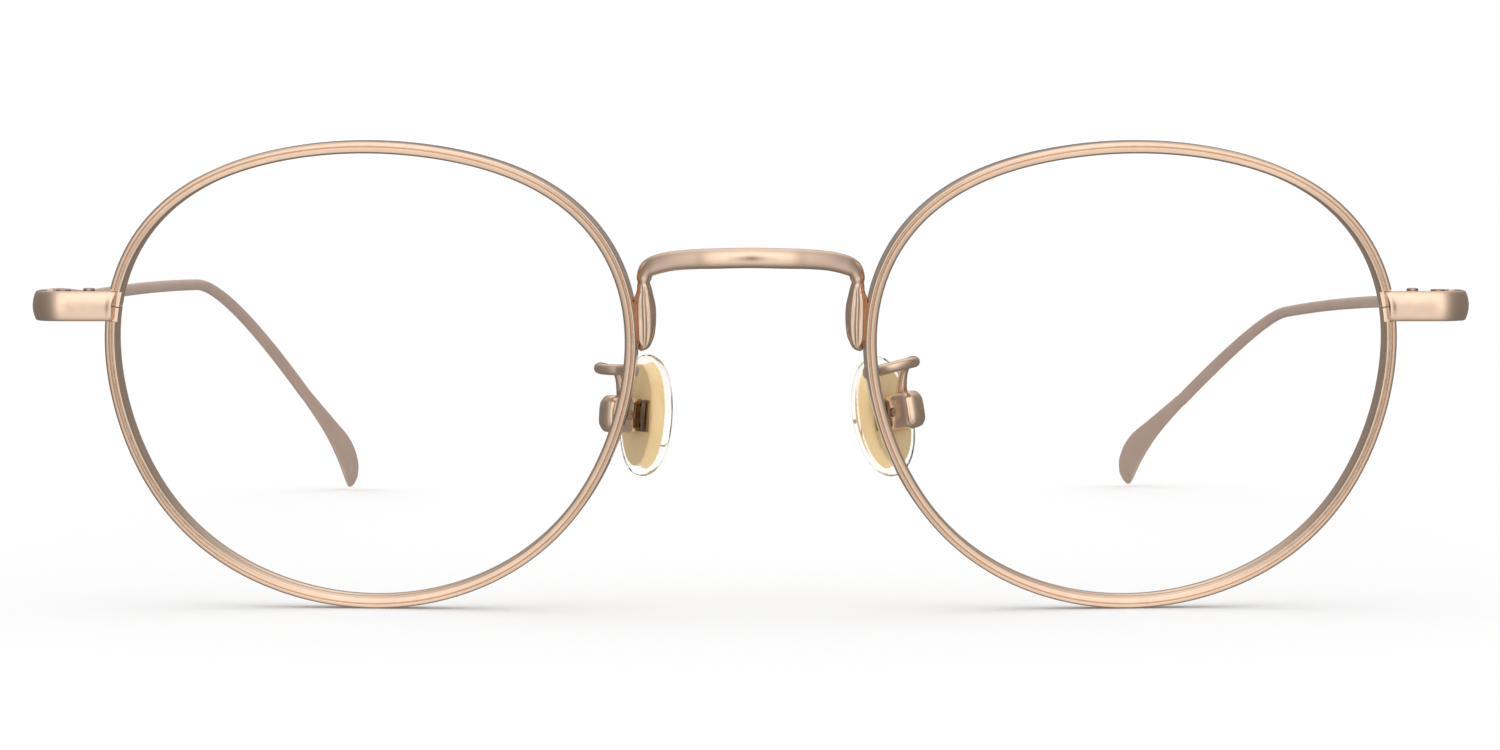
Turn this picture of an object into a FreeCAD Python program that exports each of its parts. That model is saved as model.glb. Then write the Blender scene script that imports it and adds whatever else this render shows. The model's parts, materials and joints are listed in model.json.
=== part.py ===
"""Round full-rim metal eyeglasses frame without lenses, millimetres, +Z up.

Every sub-part is modelled on the wearer's left, where X is the distance from the
middle plane, and mirrored for the right. Y runs back from the front to the
temple tips. The origin ends up at the bottom centre of the whole frame's box.
"""
import FreeCAD, Part
import math
import os

Vec = FreeCAD.Vector

# ---------------------------------------------------------------- rims
RIM_CENTRE_X = 35.43           # polar centre of the rim from the middle plane
RIM_CENTRE_Z = 22.14
RIM_MEAN_RADIUS = 23.57
# Waves round the outline: (waves per turn, cosine height, sine height).
# Two make it wider than tall, three lift its widest line, the rest square it.
RIM_WAVES = ((2, 1.54, 0.07), (3, 0.0, 0.73), (4, -0.25, 0.04), (5, 0.0, 0.12), (6, -0.08, 0.0))
RIM_WRAP = 5.0                 # degrees that the temporal side turns back
RIM_TILT = 4.5                 # degrees that the top leans forward
RIM_THICKNESS = 1.12           # radial
RIM_DEPTH = 2.2                # front to back
RIM_EDGE = 0.2                 # bevel along the rim's four edges
GROOVE_DEPTH = 0.45            # lens groove in the inner wall
GROOVE_HALF_WIDTH = 0.42
RIM_SAMPLES = 60
SPLIT_Z = 28.0                 # where each rim is split for fitting a lens
SPLIT_GAP = 0.12

# ---------------------------------------------------------------- endpieces
END_OUTER_X = 67.0
END_INNER_X = 59.0
END_FRONT_Y = 1.15
END_BACK_Y = 6.35
END_THICKNESS = 1.15
END_HEIGHT = 2.8
END_CENTRE_Z = 28.02
END_CORNER = 1.9               # outer corner radius, seen from above
END_SCALLOP = 2.1              # radius of the curved inner end
END_ROUND = 0.42               # rounding along the outer face

# ---------------------------------------------------------------- closing blocks and lock screw
LOCK_X = 61.8
LOCK_Y = 3.3
BLOCK_OUTER_X = 62.9
BLOCK_BACK_Y = 4.3
BLOCK_BOTTOM_Z = 26.7
BLOCK_TOP_Z = 29.28
LOCK_SHANK_RADIUS = 0.42
LOCK_HEAD_RADIUS = 0.55
LOCK_HEAD_HEIGHT = 0.38
SLOT_WIDTH = 0.2
SLOT_DEPTH = 0.16

# ---------------------------------------------------------------- hinges
HINGE_X = 64.65
HINGE_Y = 6.35
HINGE_BOTTOM_Z = 26.7
HINGE_TOP_Z = 29.2
KNUCKLE_RADIUS = 0.92
KNUCKLE_HEIGHT = 0.8           # the two front knuckles
KNUCKLE_GAP = 0.05
KNUCKLE_RELIEF = 0.08          # room round the knuckles in the temple's front end
HINGE_SHANK_RADIUS = 0.42
HINGE_HEAD_RADIUS = 0.7
HINGE_HEAD_HEIGHT = 0.24
RUNNING_CLEARANCE = 0.04
LEAF_FRONT_Y = 3.1
LEAF_REAR_Y = 12.0
LEAF_THICKNESS = 0.7

# ---------------------------------------------------------------- temples
TEMPLE_START_Y = 6.42
TEMPLE_START_Z = 28.25
TEMPLE_LINE_X = 64.9           # the straight part's line, carried forward to LINE_Y
LINE_Y = 6.0
TEMPLE_INWARD = 0.0436         # inward slope of the straight part
TEMPLE_ARCH = 0.00023          # gentle downward arch, per millimetre
FLARE_OUT = 1.12               # how far the front end stands outside the line
FLARE_END_Y = 19.0
TEMPLE_FRONT_HALF = (1.2, 0.66)     # half height, half thickness at the hinge
WIRE_HALF = 0.6
WIRE_DROP_HALF = 0.75
PADDLE_HALF_THICKNESS = 0.46
# Paddle tip, square to its axis: (distance along, lower edge, upper edge).
PADDLE = (
    (0.0, -0.75, 0.75), (3.0, -0.98, 0.86), (6.0, -1.4, 1.15), (9.0, -1.95, 1.6),
    (12.0, -2.65, 1.9), (14.5, -3.2, 1.85), (16.5, -3.4, 1.25), (17.6, -3.1, 0.5),
    (18.2, -2.6, -0.3), (18.5, -2.1, -0.9),
)

# ---------------------------------------------------------------- bridge
# One half, from the foot's tip up the neck to the middle of the bar:
# (distance from the middle plane, Y, Z, half width across, half depth).
BRIDGE = (
    (10.2, -1.15, 24.15, 0.25, 0.35), (9.9, -1.2, 24.6, 0.6, 0.7), (9.74, -1.22, 25.3, 0.78, 0.86),
    (9.66, -1.25, 26.4, 0.88, 0.98), (9.66, -1.3, 27.6, 0.9, 1.02), (9.72, -1.38, 28.6, 0.86, 0.98),
    (9.82, -1.45, 29.5, 0.75, 0.88), (9.88, -1.55, 30.3, 0.66, 0.78), (9.8, -1.7, 31.05, 0.7, 0.76),
    (9.5, -1.98, 31.6, 0.8, 0.77), (8.95, -2.25, 31.93, 0.88, 0.78), (8.2, -2.5, 32.17, 0.9, 0.79),
    (7.0, -2.85, 32.4, 0.9, 0.8), (5.1, -3.35, 32.56, 0.92, 0.8), (3.3, -3.75, 32.62, 0.94, 0.8),
    (0.0, -4.0, 32.69, 0.94, 0.8),
)

# ---------------------------------------------------------------- nose pads
# In the pad's own frame X runs along the screw, Y points at the nose, Z is up.
ARM_RADIUS = 0.52
ARM_END = (-0.2, 1.0)          # where the arm ends in the box, along the pad's Y and Z
BOX_HALF = (1.25, 1.65, 1.75)  # the box round the screw, half sizes
BOX_OFFSET = -0.75             # its middle, along the pad's Y
BOX_ROUND = 0.7
SOCKET_HALF = (0.52, 1.25)     # slot in the box, across and up
SOCKET_DEPTH = 1.0             # behind the screw's axis
TONGUE_HALF = (0.46, 0.95)
TONGUE_BACK = 0.72
BAND_HALF = (2.3, 1.5)         # raised band across the insert
BAND_START = 1.16
PLATE_START = 1.45
PLATE_THICKNESS = 0.3
PLATE_HALF = (2.7, 4.8)
SKIRT_DEPTH = 1.1              # turned-in edge of the plate, inside the clear pad
SKIRT_WALL = 0.3
PAD_SCREW_RADIUS = 0.36
PAD_SCREW_HEAD = 0.62
PAD_SCREW_HEAD_HEIGHT = 0.2
# Clear pad, from its flat side to its crown: (Y, half width, half height).
PAD_BODY = (
    (1.5, 3.1, 5.2), (1.75, 3.4, 5.55), (2.5, 3.55, 5.75), (3.2, 3.35, 5.5),
    (3.8, 2.75, 4.8), (4.2, 1.7, 3.4), (4.32, 0.7, 1.6),
)

# ---------------------------------------------------------------- how each side is adjusted
ADJUST = {
    "left": {
        "temple_slope": 0.0322, "temple_drop": 0.528, "temple_turn": 0.401,
        "bend_start": 96.9, "bend_end": 129.0, "paddle_y": 131.0,
        "pad_screw": (14.2, 6.1, 17.9), "pad_splay": 45.0, "pad_tilt": 13.0,
        "arm_start": (11.15, 21.95), "arm_loop": (15.85, 22.8), "arm_leg": (14.2, 21.5),
    },
    "right": {
        "temple_slope": -0.002, "temple_drop": 0.632, "temple_turn": 0.302,
        "bend_start": 83.8, "bend_end": 125.8, "paddle_y": 125.8,
        "pad_screw": (12.0, 6.1, 17.65), "pad_splay": 33.0, "pad_tilt": 4.0,
        "arm_start": (11.15, 22.1), "arm_loop": (14.2, 22.15), "arm_leg": (12.1, 21.7),
    },
}
MIDDLE = Vec(0, 0, 0)
X_AXIS = Vec(1, 0, 0)
Y_AXIS = Vec(0, 1, 0)
Z_AXIS = Vec(0, 0, 1)


# ---------------------------------------------------------------- building helpers
def box(low, high):
    """Box between two corners."""
    size = [high[i] - low[i] for i in range(3)]
    return Part.makeBox(size[0], size[1], size[2], Vec(*low))


def post(x, y, low_z, high_z, radius):
    """Upright cylinder."""
    return Part.makeCylinder(radius, high_z - low_z, Vec(x, y, low_z), Z_AXIS)


def oval_wire(centre, across, along, half_across, half_along, points=16):
    """Smooth closed oval in the plane of two directions."""
    ring = []
    for step in range(points):
        turn = 2 * math.pi * step / points
        ring.append(centre + across * (half_across * math.cos(turn)) + along * (half_along * math.sin(turn)))
    curve = Part.BSplineCurve()
    curve.interpolate(Points=ring, PeriodicFlag=True)
    return Part.Wire([curve.toShape()])


def ellipse_wire(centre, tall_axis, thick_axis, tall, thick):
    """True ellipse, at least as tall as it is thick."""
    tall = max(tall, thick * 1.0001)
    ellipse = Part.Ellipse(centre + tall_axis * tall, centre + thick_axis * thick, centre)
    return Part.Wire([ellipse.toShape()])


def smooth_solid(wires):
    """Solid skinned through closed wires."""
    return Part.makeLoft(wires, True, False)


def ruled_solid(wires):
    """Solid through closed wires, with straight spans from each wire to the next."""
    return Part.makeLoft(wires, True, True)


def bent_tube(points, radius):
    """Round rod along straight runs joined by tangent arcs."""
    corners = [Vec(*p) for p in points]
    edges = []
    start = corners[0]
    for before, corner, after in zip(corners, corners[1:], corners[2:]):
        back = (before - corner).normalize()
        ahead = (after - corner).normalize()
        reach = 0.45 * min((before - corner).Length, (after - corner).Length)
        half = back.getAngle(ahead) / 2
        entry = corner + back * reach
        leave = corner + ahead * reach
        to_arc = reach / math.cos(half) - reach * math.tan(half)
        crest = corner + (back + ahead).normalize() * to_arc
        edges.append(Part.makeLine(start, entry))
        edges.append(Part.Arc(entry, crest, leave).toShape())
        start = leave
    edges.append(Part.makeLine(start, corners[-1]))
    path = Part.Wire(edges)
    direction = (corners[1] - corners[0]).normalize()
    profile = Part.Wire([Part.makeCircle(radius, corners[0], direction)])
    return path.makePipeShell([profile], True, True)


def slotted_screw(length, radius, head_radius, head_height):
    """Screw pointing down from z=0, with its slotted head above."""
    shank = Part.makeCylinder(radius, length, Vec(0, 0, -length), Z_AXIS)
    head = Part.makeCylinder(head_radius, head_height, MIDDLE, Z_AXIS)
    head = head.makeFillet(head_height * 0.4, [head.Edges[0]])
    slot = box((-head_radius * 2, -SLOT_WIDTH / 2, head_height - SLOT_DEPTH),
               (head_radius * 2, SLOT_WIDTH / 2, head_height * 2))
    return shank.fuse(head).cut(slot).removeSplitter()


# ---------------------------------------------------------------- rim
def rim_radius(angle):
    """Radius of the rim's outer edge, and its slope, at an angle from the nose side."""
    radius = RIM_MEAN_RADIUS
    slope = 0.0
    for count, cosine, sine in RIM_WAVES:
        radius += cosine * math.cos(count * angle) + sine * math.sin(count * angle)
        slope += count * (sine * math.cos(count * angle) - cosine * math.sin(count * angle))
    return radius, slope


def rim_point(angle, inset, depth):
    """Point of the flat outline, moved inward by inset and back by depth."""
    radius, slope = rim_radius(angle)
    outward = Vec(-math.cos(angle), 0, math.sin(angle))
    along = Vec(math.sin(angle), 0, math.cos(angle))
    normal = (outward * radius - along * slope).normalize()
    return outward * radius - normal * inset + Vec(0, depth, 0)


def rim_edge(inset, depth):
    """Closed edge that runs round the rim."""
    curve = Part.BSplineCurve()
    turns = [2 * math.pi * step / RIM_SAMPLES for step in range(RIM_SAMPLES)]
    curve.interpolate(Points=[rim_point(turn, inset, depth) for turn in turns], PeriodicFlag=True)
    return curve.toShape()


def place_rim(shape):
    """Turn a flat rim shape to its wrap and tilt, and move it to its place."""
    shape = shape.copy()
    shape.rotate(MIDDLE, Z_AXIS, RIM_WRAP)
    shape.rotate(MIDDLE, X_AXIS, RIM_TILT)
    shape.translate(Vec(RIM_CENTRE_X, 0, RIM_CENTRE_Z))
    return shape


def rim_band():
    """Ring with bevelled edges and a lens groove in its inner wall."""
    middle = RIM_DEPTH / 2
    section = (
        (0.0, RIM_EDGE), (RIM_EDGE, 0.0), (RIM_THICKNESS - RIM_EDGE, 0.0),
        (RIM_THICKNESS, RIM_EDGE), (RIM_THICKNESS, middle - GROOVE_HALF_WIDTH),
        (RIM_THICKNESS - GROOVE_DEPTH, middle), (RIM_THICKNESS, middle + GROOVE_HALF_WIDTH),
        (RIM_THICKNESS, RIM_DEPTH - RIM_EDGE), (RIM_THICKNESS - RIM_EDGE, RIM_DEPTH),
        (RIM_EDGE, RIM_DEPTH), (0.0, RIM_DEPTH - RIM_EDGE),
    )
    rings = [rim_edge(inset, depth) for inset, depth in section]
    faces = [Part.makeRuledSurface(a, b) for a, b in zip(rings, rings[1:] + rings[:1])]
    shell = Part.makeShell(faces)
    shell.sewShape()
    return place_rim(Part.Solid(shell))


def rim_envelope():
    """Everything inside the rim's outer wall, from well before to well behind it."""
    face = Part.Face(Part.Wire([rim_edge(0.0, -3.0)]))
    return place_rim(face.extrude(Vec(0, 9.0, 0)))


def filled_rim():
    """The rim's own depth, filled across."""
    face = Part.Face(Part.Wire([rim_edge(0.0, 0.0)]))
    return place_rim(face.extrude(Vec(0, RIM_DEPTH, 0)))


def rim(endpiece):
    """Rim split on its temporal side, with a step for the endpiece."""
    half = SPLIT_GAP / 2
    split = box((RIM_CENTRE_X + 15, -5, SPLIT_Z - half), (RIM_CENTRE_X + 30, 10, SPLIT_Z + half))
    return rim_band().cut(split).cut(endpiece)


# ---------------------------------------------------------------- endpiece and closing blocks
def endpiece():
    """Plate that runs out from the rim's front and turns back to the hinge."""
    low = END_CENTRE_Z - END_HEIGHT / 2
    inner = END_OUTER_X - END_THICKNESS
    inner_y = END_FRONT_Y + END_THICKNESS
    centre = Vec(END_OUTER_X - END_CORNER, END_FRONT_Y + END_CORNER, low)
    diagonal = END_CORNER * math.sqrt(0.5)
    inside = END_CORNER - END_THICKNESS
    inside_diagonal = inside * math.sqrt(0.5)
    corner = Part.Arc(Vec(centre.x, END_FRONT_Y, low), centre + Vec(diagonal, -diagonal, 0),
                      Vec(END_OUTER_X, centre.y, low))
    inside_corner = Part.Arc(Vec(inner, centre.y, low),
                             centre + Vec(inside_diagonal, -inside_diagonal, 0),
                             Vec(centre.x, inner_y, low))
    outline = [
        Part.makeLine(Vec(END_INNER_X, END_FRONT_Y, low), Vec(centre.x, END_FRONT_Y, low)),
        corner.toShape(),
        Part.makeLine(Vec(END_OUTER_X, centre.y, low), Vec(END_OUTER_X, END_BACK_Y, low)),
        Part.makeLine(Vec(END_OUTER_X, END_BACK_Y, low), Vec(inner, END_BACK_Y, low)),
        Part.makeLine(Vec(inner, END_BACK_Y, low), Vec(inner, centre.y, low)),
        inside_corner.toShape(),
        Part.makeLine(Vec(centre.x, inner_y, low), Vec(END_INNER_X, inner_y, low)),
        Part.makeLine(Vec(END_INNER_X, inner_y, low), Vec(END_INNER_X, END_FRONT_Y, low)),
    ]
    plate = Part.Face(Part.Wire(outline)).extrude(Vec(0, 0, END_HEIGHT))
    long_edges = []
    for edge in plate.Edges:
        level = edge.CenterOfMass.z
        outer = min(v.Y for v in edge.Vertexes) < inner_y - 0.2 or min(v.X for v in edge.Vertexes) > inner + 0.2
        flat = abs(level - low) < 0.01 or abs(level - low - END_HEIGHT) < 0.01
        on_outside = edge.Length > 1.3 and outer and flat
        if on_outside:
            long_edges.append(edge)
    plate = plate.makeFillet(END_ROUND, long_edges)
    bite = Part.makeCylinder(END_SCALLOP, 8, Vec(END_INNER_X - END_SCALLOP + 0.55, 0, END_CENTRE_Z + 0.4), Y_AXIS)
    return plate.cut(bite)


def closing_block(envelope, low_z, high_z):
    """Half of the block that closes the rim, bored for the lock screw."""
    front = END_FRONT_Y + END_THICKNESS
    block = box((END_INNER_X, front, low_z), (BLOCK_OUTER_X, BLOCK_BACK_Y, high_z))
    block = block.cut(envelope)
    bore = post(LOCK_X, LOCK_Y, low_z - 1, high_z + 1, LOCK_SHANK_RADIUS)
    return block.cut(bore)


def lock_screw():
    """Slotted screw that pulls the two closing blocks together."""
    screw = slotted_screw(BLOCK_TOP_Z - BLOCK_BOTTOM_Z, LOCK_SHANK_RADIUS, LOCK_HEAD_RADIUS, LOCK_HEAD_HEIGHT)
    screw.translate(Vec(LOCK_X, LOCK_Y, BLOCK_TOP_Z))
    return screw


# ---------------------------------------------------------------- hinge
def front_leaf(end):
    """Hinge leaf on the endpiece's inner face, with the upper and lower knuckles."""
    inner = END_OUTER_X - END_THICKNESS
    low = HINGE_BOTTOM_Z
    high = HINGE_TOP_Z
    spine = box((inner - LEAF_THICKNESS, LEAF_FRONT_Y, low), (inner, HINGE_Y - 1.05, high))
    leaf = spine
    for bottom in (low, high - KNUCKLE_HEIGHT):
        top = bottom + KNUCKLE_HEIGHT
        leaf = leaf.fuse(post(HINGE_X, HINGE_Y, bottom, top, KNUCKLE_RADIUS))
        leaf = leaf.fuse(box((HINGE_X - 0.3, HINGE_Y - 1.6, bottom), (inner, HINGE_Y - 0.1, top)))
    leaf = leaf.cut(post(HINGE_X, HINGE_Y, low - 1, high + 1, HINGE_SHANK_RADIUS))
    return leaf.cut(end).removeSplitter()


def temple_leaf():
    """Hinge leaf with the middle knuckle, let a little into the temple's inner face."""
    low = HINGE_BOTTOM_Z + KNUCKLE_HEIGHT + KNUCKLE_GAP
    high = HINGE_TOP_Z - KNUCKLE_HEIGHT - KNUCKLE_GAP
    bore = post(HINGE_X, HINGE_Y, low - 1, high + 1, HINGE_SHANK_RADIUS + RUNNING_CLEARANCE)
    knuckle = post(HINGE_X, HINGE_Y, low, high, KNUCKLE_RADIUS)
    arm = box((HINGE_X - 0.35, HINGE_Y + 0.1, low), (HINGE_X + 0.6, HINGE_Y + 2.2, high))
    plate = box((HINGE_X - 0.35, HINGE_Y + 1.15, HINGE_BOTTOM_Z + 0.35),
                (HINGE_X + 0.75, LEAF_REAR_Y, HINGE_TOP_Z - 0.3))
    return knuckle.fuse(arm).fuse(plate).cut(bore).removeSplitter()


def hinge_screw():
    """Slotted screw that is the temple's fold axis."""
    screw = slotted_screw(HINGE_TOP_Z - HINGE_BOTTOM_Z, HINGE_SHANK_RADIUS, HINGE_HEAD_RADIUS, HINGE_HEAD_HEIGHT)
    screw.translate(Vec(HINGE_X, HINGE_Y, HINGE_TOP_Z))
    return screw


# ---------------------------------------------------------------- temple
def ease(value):
    """Smooth step from 0 to 1."""
    value = min(max(value, 0.0), 1.0)
    return value * value * (3 - 2 * value)


def bend_amount(y, adjust):
    """How far behind the bend a point is: nothing, a parabola, then a straight line."""
    start = adjust["bend_start"]
    end = adjust["bend_end"]
    if y <= start:
        return 0.0
    if y >= end:
        return y - (start + end) / 2
    return (y - start) ** 2 / (2 * (end - start))


def temple_line(y, adjust):
    """Centre of the temple at a distance back from the front."""
    back = y - LINE_Y
    flare = FLARE_OUT * (1 - ease((y - TEMPLE_START_Y) / (FLARE_END_Y - TEMPLE_START_Y)))
    x = TEMPLE_LINE_X + flare - TEMPLE_INWARD * back - adjust["temple_turn"] * bend_amount(y, adjust)
    z = TEMPLE_START_Z - adjust["temple_slope"] * back - TEMPLE_ARCH * back ** 2
    z -= adjust["temple_drop"] * bend_amount(y, adjust)
    return Vec(x, y, z)


def temple_axes(y, adjust):
    """Direction, upward and sideways axes of the temple's section."""
    along = (temple_line(y + 0.05, adjust) - temple_line(y - 0.05, adjust)).normalize()
    side = along.cross(Z_AXIS).normalize()
    return along, side.cross(along), side


def temple(adjust):
    """Wire temple: flat end at the hinge, bend over the ear and a paddle tip."""
    wires = []
    bend_start = adjust["bend_start"]
    y = TEMPLE_START_Y
    while y < adjust["paddle_y"] - 0.1:
        front = 1 - ease((y - TEMPLE_START_Y - 1.5) / (FLARE_END_Y - TEMPLE_START_Y))
        rear = ease((y - bend_start) / (adjust["paddle_y"] - bend_start))
        plain = WIRE_HALF + (WIRE_DROP_HALF - WIRE_HALF) * rear
        tall = plain + (TEMPLE_FRONT_HALF[0] - WIRE_HALF) * front
        thick = WIRE_HALF + (TEMPLE_FRONT_HALF[1] - WIRE_HALF) * front
        along, up, side = temple_axes(y, adjust)
        if not wires:
            up = Z_AXIS
            side = X_AXIS
        wires.append(ellipse_wire(temple_line(y, adjust), up, side, tall, thick))
        y += 3.0 if y < FLARE_END_Y or y > bend_start - 6 else 8.0
    root = temple_line(adjust["paddle_y"], adjust)
    along, up, side = temple_axes(adjust["paddle_y"], adjust)
    for distance, lower, upper in PADDLE:
        centre = root + along * distance + up * ((lower + upper) / 2)
        flat = ease(distance / 9.0)
        end = math.sqrt(max(1 - (distance / 18.9) ** 8, 0.0))
        thick = (WIRE_HALF + (PADDLE_HALF_THICKNESS - WIRE_HALF) * flat) * end
        wires.append(ellipse_wire(centre, up, side, (upper - lower) / 2, thick))
    relief = post(HINGE_X, HINGE_Y, HINGE_BOTTOM_Z - 1, HINGE_TOP_Z + 1, KNUCKLE_RADIUS + KNUCKLE_RELIEF)
    return ruled_solid(wires).cut(relief)


# ---------------------------------------------------------------- bridge
def bridge(left_envelope):
    """Bar bridge with a leaf-shaped foot on each rim's nasal wall."""
    half = [Vec(x, y, z) for x, y, z, across, deep in BRIDGE]
    mirrored = [Vec(-p.x, p.y, p.z) for p in half[:-1]]
    points = half + mirrored[::-1]
    sizes = [row[3:] for row in BRIDGE]
    sizes += sizes[-2::-1]
    line = Part.BSplineCurve()
    line.interpolate(Points=points)
    wires = []
    for point, (across, deep) in zip(points, sizes):
        along = Vec(*line.tangent(line.parameter(point))[0])
        side = Y_AXIS.cross(along).normalize()
        wires.append(oval_wire(point, side, along.cross(side), across, deep))
    bar = smooth_solid(wires)
    right_envelope = left_envelope.mirror(MIDDLE, X_AXIS)
    return bar.cut(left_envelope).cut(right_envelope)


# ---------------------------------------------------------------- nose pad
def place_pad(shape, adjust):
    """Turn a shape from the pad's own frame to its splay and tilt, and move it."""
    shape = shape.copy()
    shape.rotate(MIDDLE, X_AXIS, -adjust["pad_tilt"])
    shape.rotate(MIDDLE, Z_AXIS, 90 - adjust["pad_splay"])
    shape.translate(Vec(*adjust["pad_screw"]))
    return shape


def pad_box_block():
    """Rounded outer block of the pad box, in the pad's own frame."""
    half_x, half_y, half_z = BOX_HALF
    block = box((-half_x, BOX_OFFSET - half_y, -half_z), (half_x, BOX_OFFSET + half_y, half_z))
    return block.makeFillet(BOX_ROUND, block.Edges)


def pad_box(adjust):
    """Box at the end of the pad arm, with a socket for the insert's tongue."""
    half_x, half_y, half_z = BOX_HALF
    socket = box((-SOCKET_HALF[0], -SOCKET_DEPTH, -SOCKET_HALF[1]), (SOCKET_HALF[0], half_y + 1, SOCKET_HALF[1]))
    bore = Part.makeCylinder(PAD_SCREW_RADIUS, 4 * half_x, Vec(-2 * half_x, 0, 0), X_AXIS)
    return place_pad(pad_box_block().cut(socket).cut(bore), adjust)


def pad_screw(adjust):
    """Screw through the box and the insert's tongue: the axis that the pad rocks on."""
    screw = slotted_screw(2 * BOX_HALF[0], PAD_SCREW_RADIUS, PAD_SCREW_HEAD, PAD_SCREW_HEAD_HEIGHT)
    screw.rotate(MIDDLE, Y_AXIS, -90)
    screw.translate(Vec(-BOX_HALF[0], 0, 0))
    return place_pad(screw, adjust)


def pad_plate():
    """Oval plate of the metal insert with its turned-in edge, in the pad's own frame."""
    depth = PLATE_THICKNESS + SKIRT_DEPTH
    outer = oval_wire(Vec(0, PLATE_START, 0), Z_AXIS, X_AXIS, PLATE_HALF[1], PLATE_HALF[0])
    inner = oval_wire(Vec(0, PLATE_START + PLATE_THICKNESS, 0), Z_AXIS, X_AXIS,
                      PLATE_HALF[1] - SKIRT_WALL, PLATE_HALF[0] - SKIRT_WALL)
    dish = Part.Face(outer).extrude(Vec(0, depth, 0))
    return dish.cut(Part.Face(inner).extrude(Vec(0, depth, 0)))


def pad_insert(adjust):
    """Metal insert: oval plate, raised band across it and the tongue with its bore."""
    band = box((-BAND_HALF[0], BAND_START, -BAND_HALF[1]), (BAND_HALF[0], PLATE_START, BAND_HALF[1]))
    tongue = box((-TONGUE_HALF[0], -TONGUE_BACK, -TONGUE_HALF[1]), (TONGUE_HALF[0], BAND_START, TONGUE_HALF[1]))
    round_edges = [e for e in tongue.Edges if abs(e.CenterOfMass.y + TONGUE_BACK) < 0.01]
    round_edges = [e for e in round_edges if abs(abs(e.CenterOfMass.z) - TONGUE_HALF[1]) < 0.01]
    tongue = tongue.makeFillet(TONGUE_BACK * 0.8, round_edges)
    bore = Part.makeCylinder(PAD_SCREW_RADIUS + RUNNING_CLEARANCE, 4, Vec(-2, 0, 0), X_AXIS)
    return place_pad(pad_plate().fuse(band).fuse(tongue).cut(bore).removeSplitter(), adjust)


def pad_body(adjust):
    """Clear pad moulded over the insert's plate, crowned towards the nose."""
    wires = []
    for y, half_width, half_height in PAD_BODY:
        wires.append(oval_wire(Vec(0, y, 0), Z_AXIS, X_AXIS, half_height, half_width))
    return place_pad(smooth_solid(wires).cut(pad_plate()), adjust)


def pad_arm(adjust):
    """Wire from the rim's back, round a flat loop and down to the pad box."""
    loop_x, loop_z = adjust["arm_loop"]
    leg_x, leg_z = adjust["arm_leg"]
    screw = Vec(*adjust["pad_screw"])
    top = place_pad(Part.Vertex(0, *ARM_END), adjust).Point
    start_x, start_z = adjust["arm_start"]
    route = (
        (start_x, -0.25, start_z), (start_x + 0.45, 1.35, start_z), (loop_x - 1.2, 1.9, loop_z - 0.1),
        (loop_x - 0.35, 3.2, loop_z), (loop_x - 1.1, 4.6, loop_z - 0.1),
        (leg_x, screw.y - 0.75, leg_z), (top.x, top.y, top.z),
    )
    rod = bent_tube(route, ARM_RADIUS)
    return rod.cut(filled_rim()).cut(place_pad(pad_box_block(), adjust))


# ---------------------------------------------------------------- assembly
def one_side(adjust):
    """Every sub-part of one side, as on the wearer's left."""
    envelope = rim_envelope()
    end = endpiece()
    half = SPLIT_GAP / 2
    return {
        "rim": rim(end),
        "endpiece": end,
        "upper_closing_block": closing_block(envelope, SPLIT_Z + half, BLOCK_TOP_Z),
        "lower_closing_block": closing_block(envelope, BLOCK_BOTTOM_Z, SPLIT_Z - half),
        "rim_lock_screw": lock_screw(),
        "front_hinge_leaf": front_leaf(end),
        "temple_hinge_leaf": temple_leaf(),
        "hinge_screw": hinge_screw(),
        "temple": temple(adjust),
        "pad_arm": pad_arm(adjust),
        "pad_box": pad_box(adjust),
        "pad_screw": pad_screw(adjust),
        "pad_insert": pad_insert(adjust),
        "pad_body": pad_body(adjust),
    }


def build():
    """All sub-parts by node name, with the origin at the bottom centre of the whole."""
    nodes = {"bridge": bridge(rim_envelope())}
    for side, adjust in ADJUST.items():
        for name, shape in one_side(adjust).items():
            if side == "right":
                shape = shape.mirror(MIDDLE, X_AXIS)
            nodes[side + "_" + name] = shape
    whole = Part.makeCompound(list(nodes.values())).optimalBoundingBox(False)
    shift = Vec(0, -(whole.YMin + whole.YMax) / 2, -whole.ZMin)
    print("shift", shift, "size", whole.XLength, whole.YLength, whole.ZLength)
    for shape in nodes.values():
        shape.translate(shift)
    return nodes


def main():
    os.makedirs("parts", exist_ok=True)
    for name, shape in build().items():
        lowest = shape.optimalBoundingBox(False).ZMin
        print(name, "valid", shape.isValid(), "solids", len(shape.Solids), "volume", round(shape.Volume, 3),
              "lowest", round(lowest, 3))
        shape.exportStep("parts/" + name + ".step")


main()
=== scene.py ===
"""Looks of a round metal eyeglasses frame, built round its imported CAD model.

Sizes are in millimetres in the drawing frame of the CAD source: X from the middle
plane, Y back from the front, Z up. `at` turns them into metres in the row frame.
Every side piece is drawn on the wearer's left and mirrored for the right.
"""
import itertools
import json
import math

import bmesh
import bpy
from mathutils import Matrix, Vector


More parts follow.
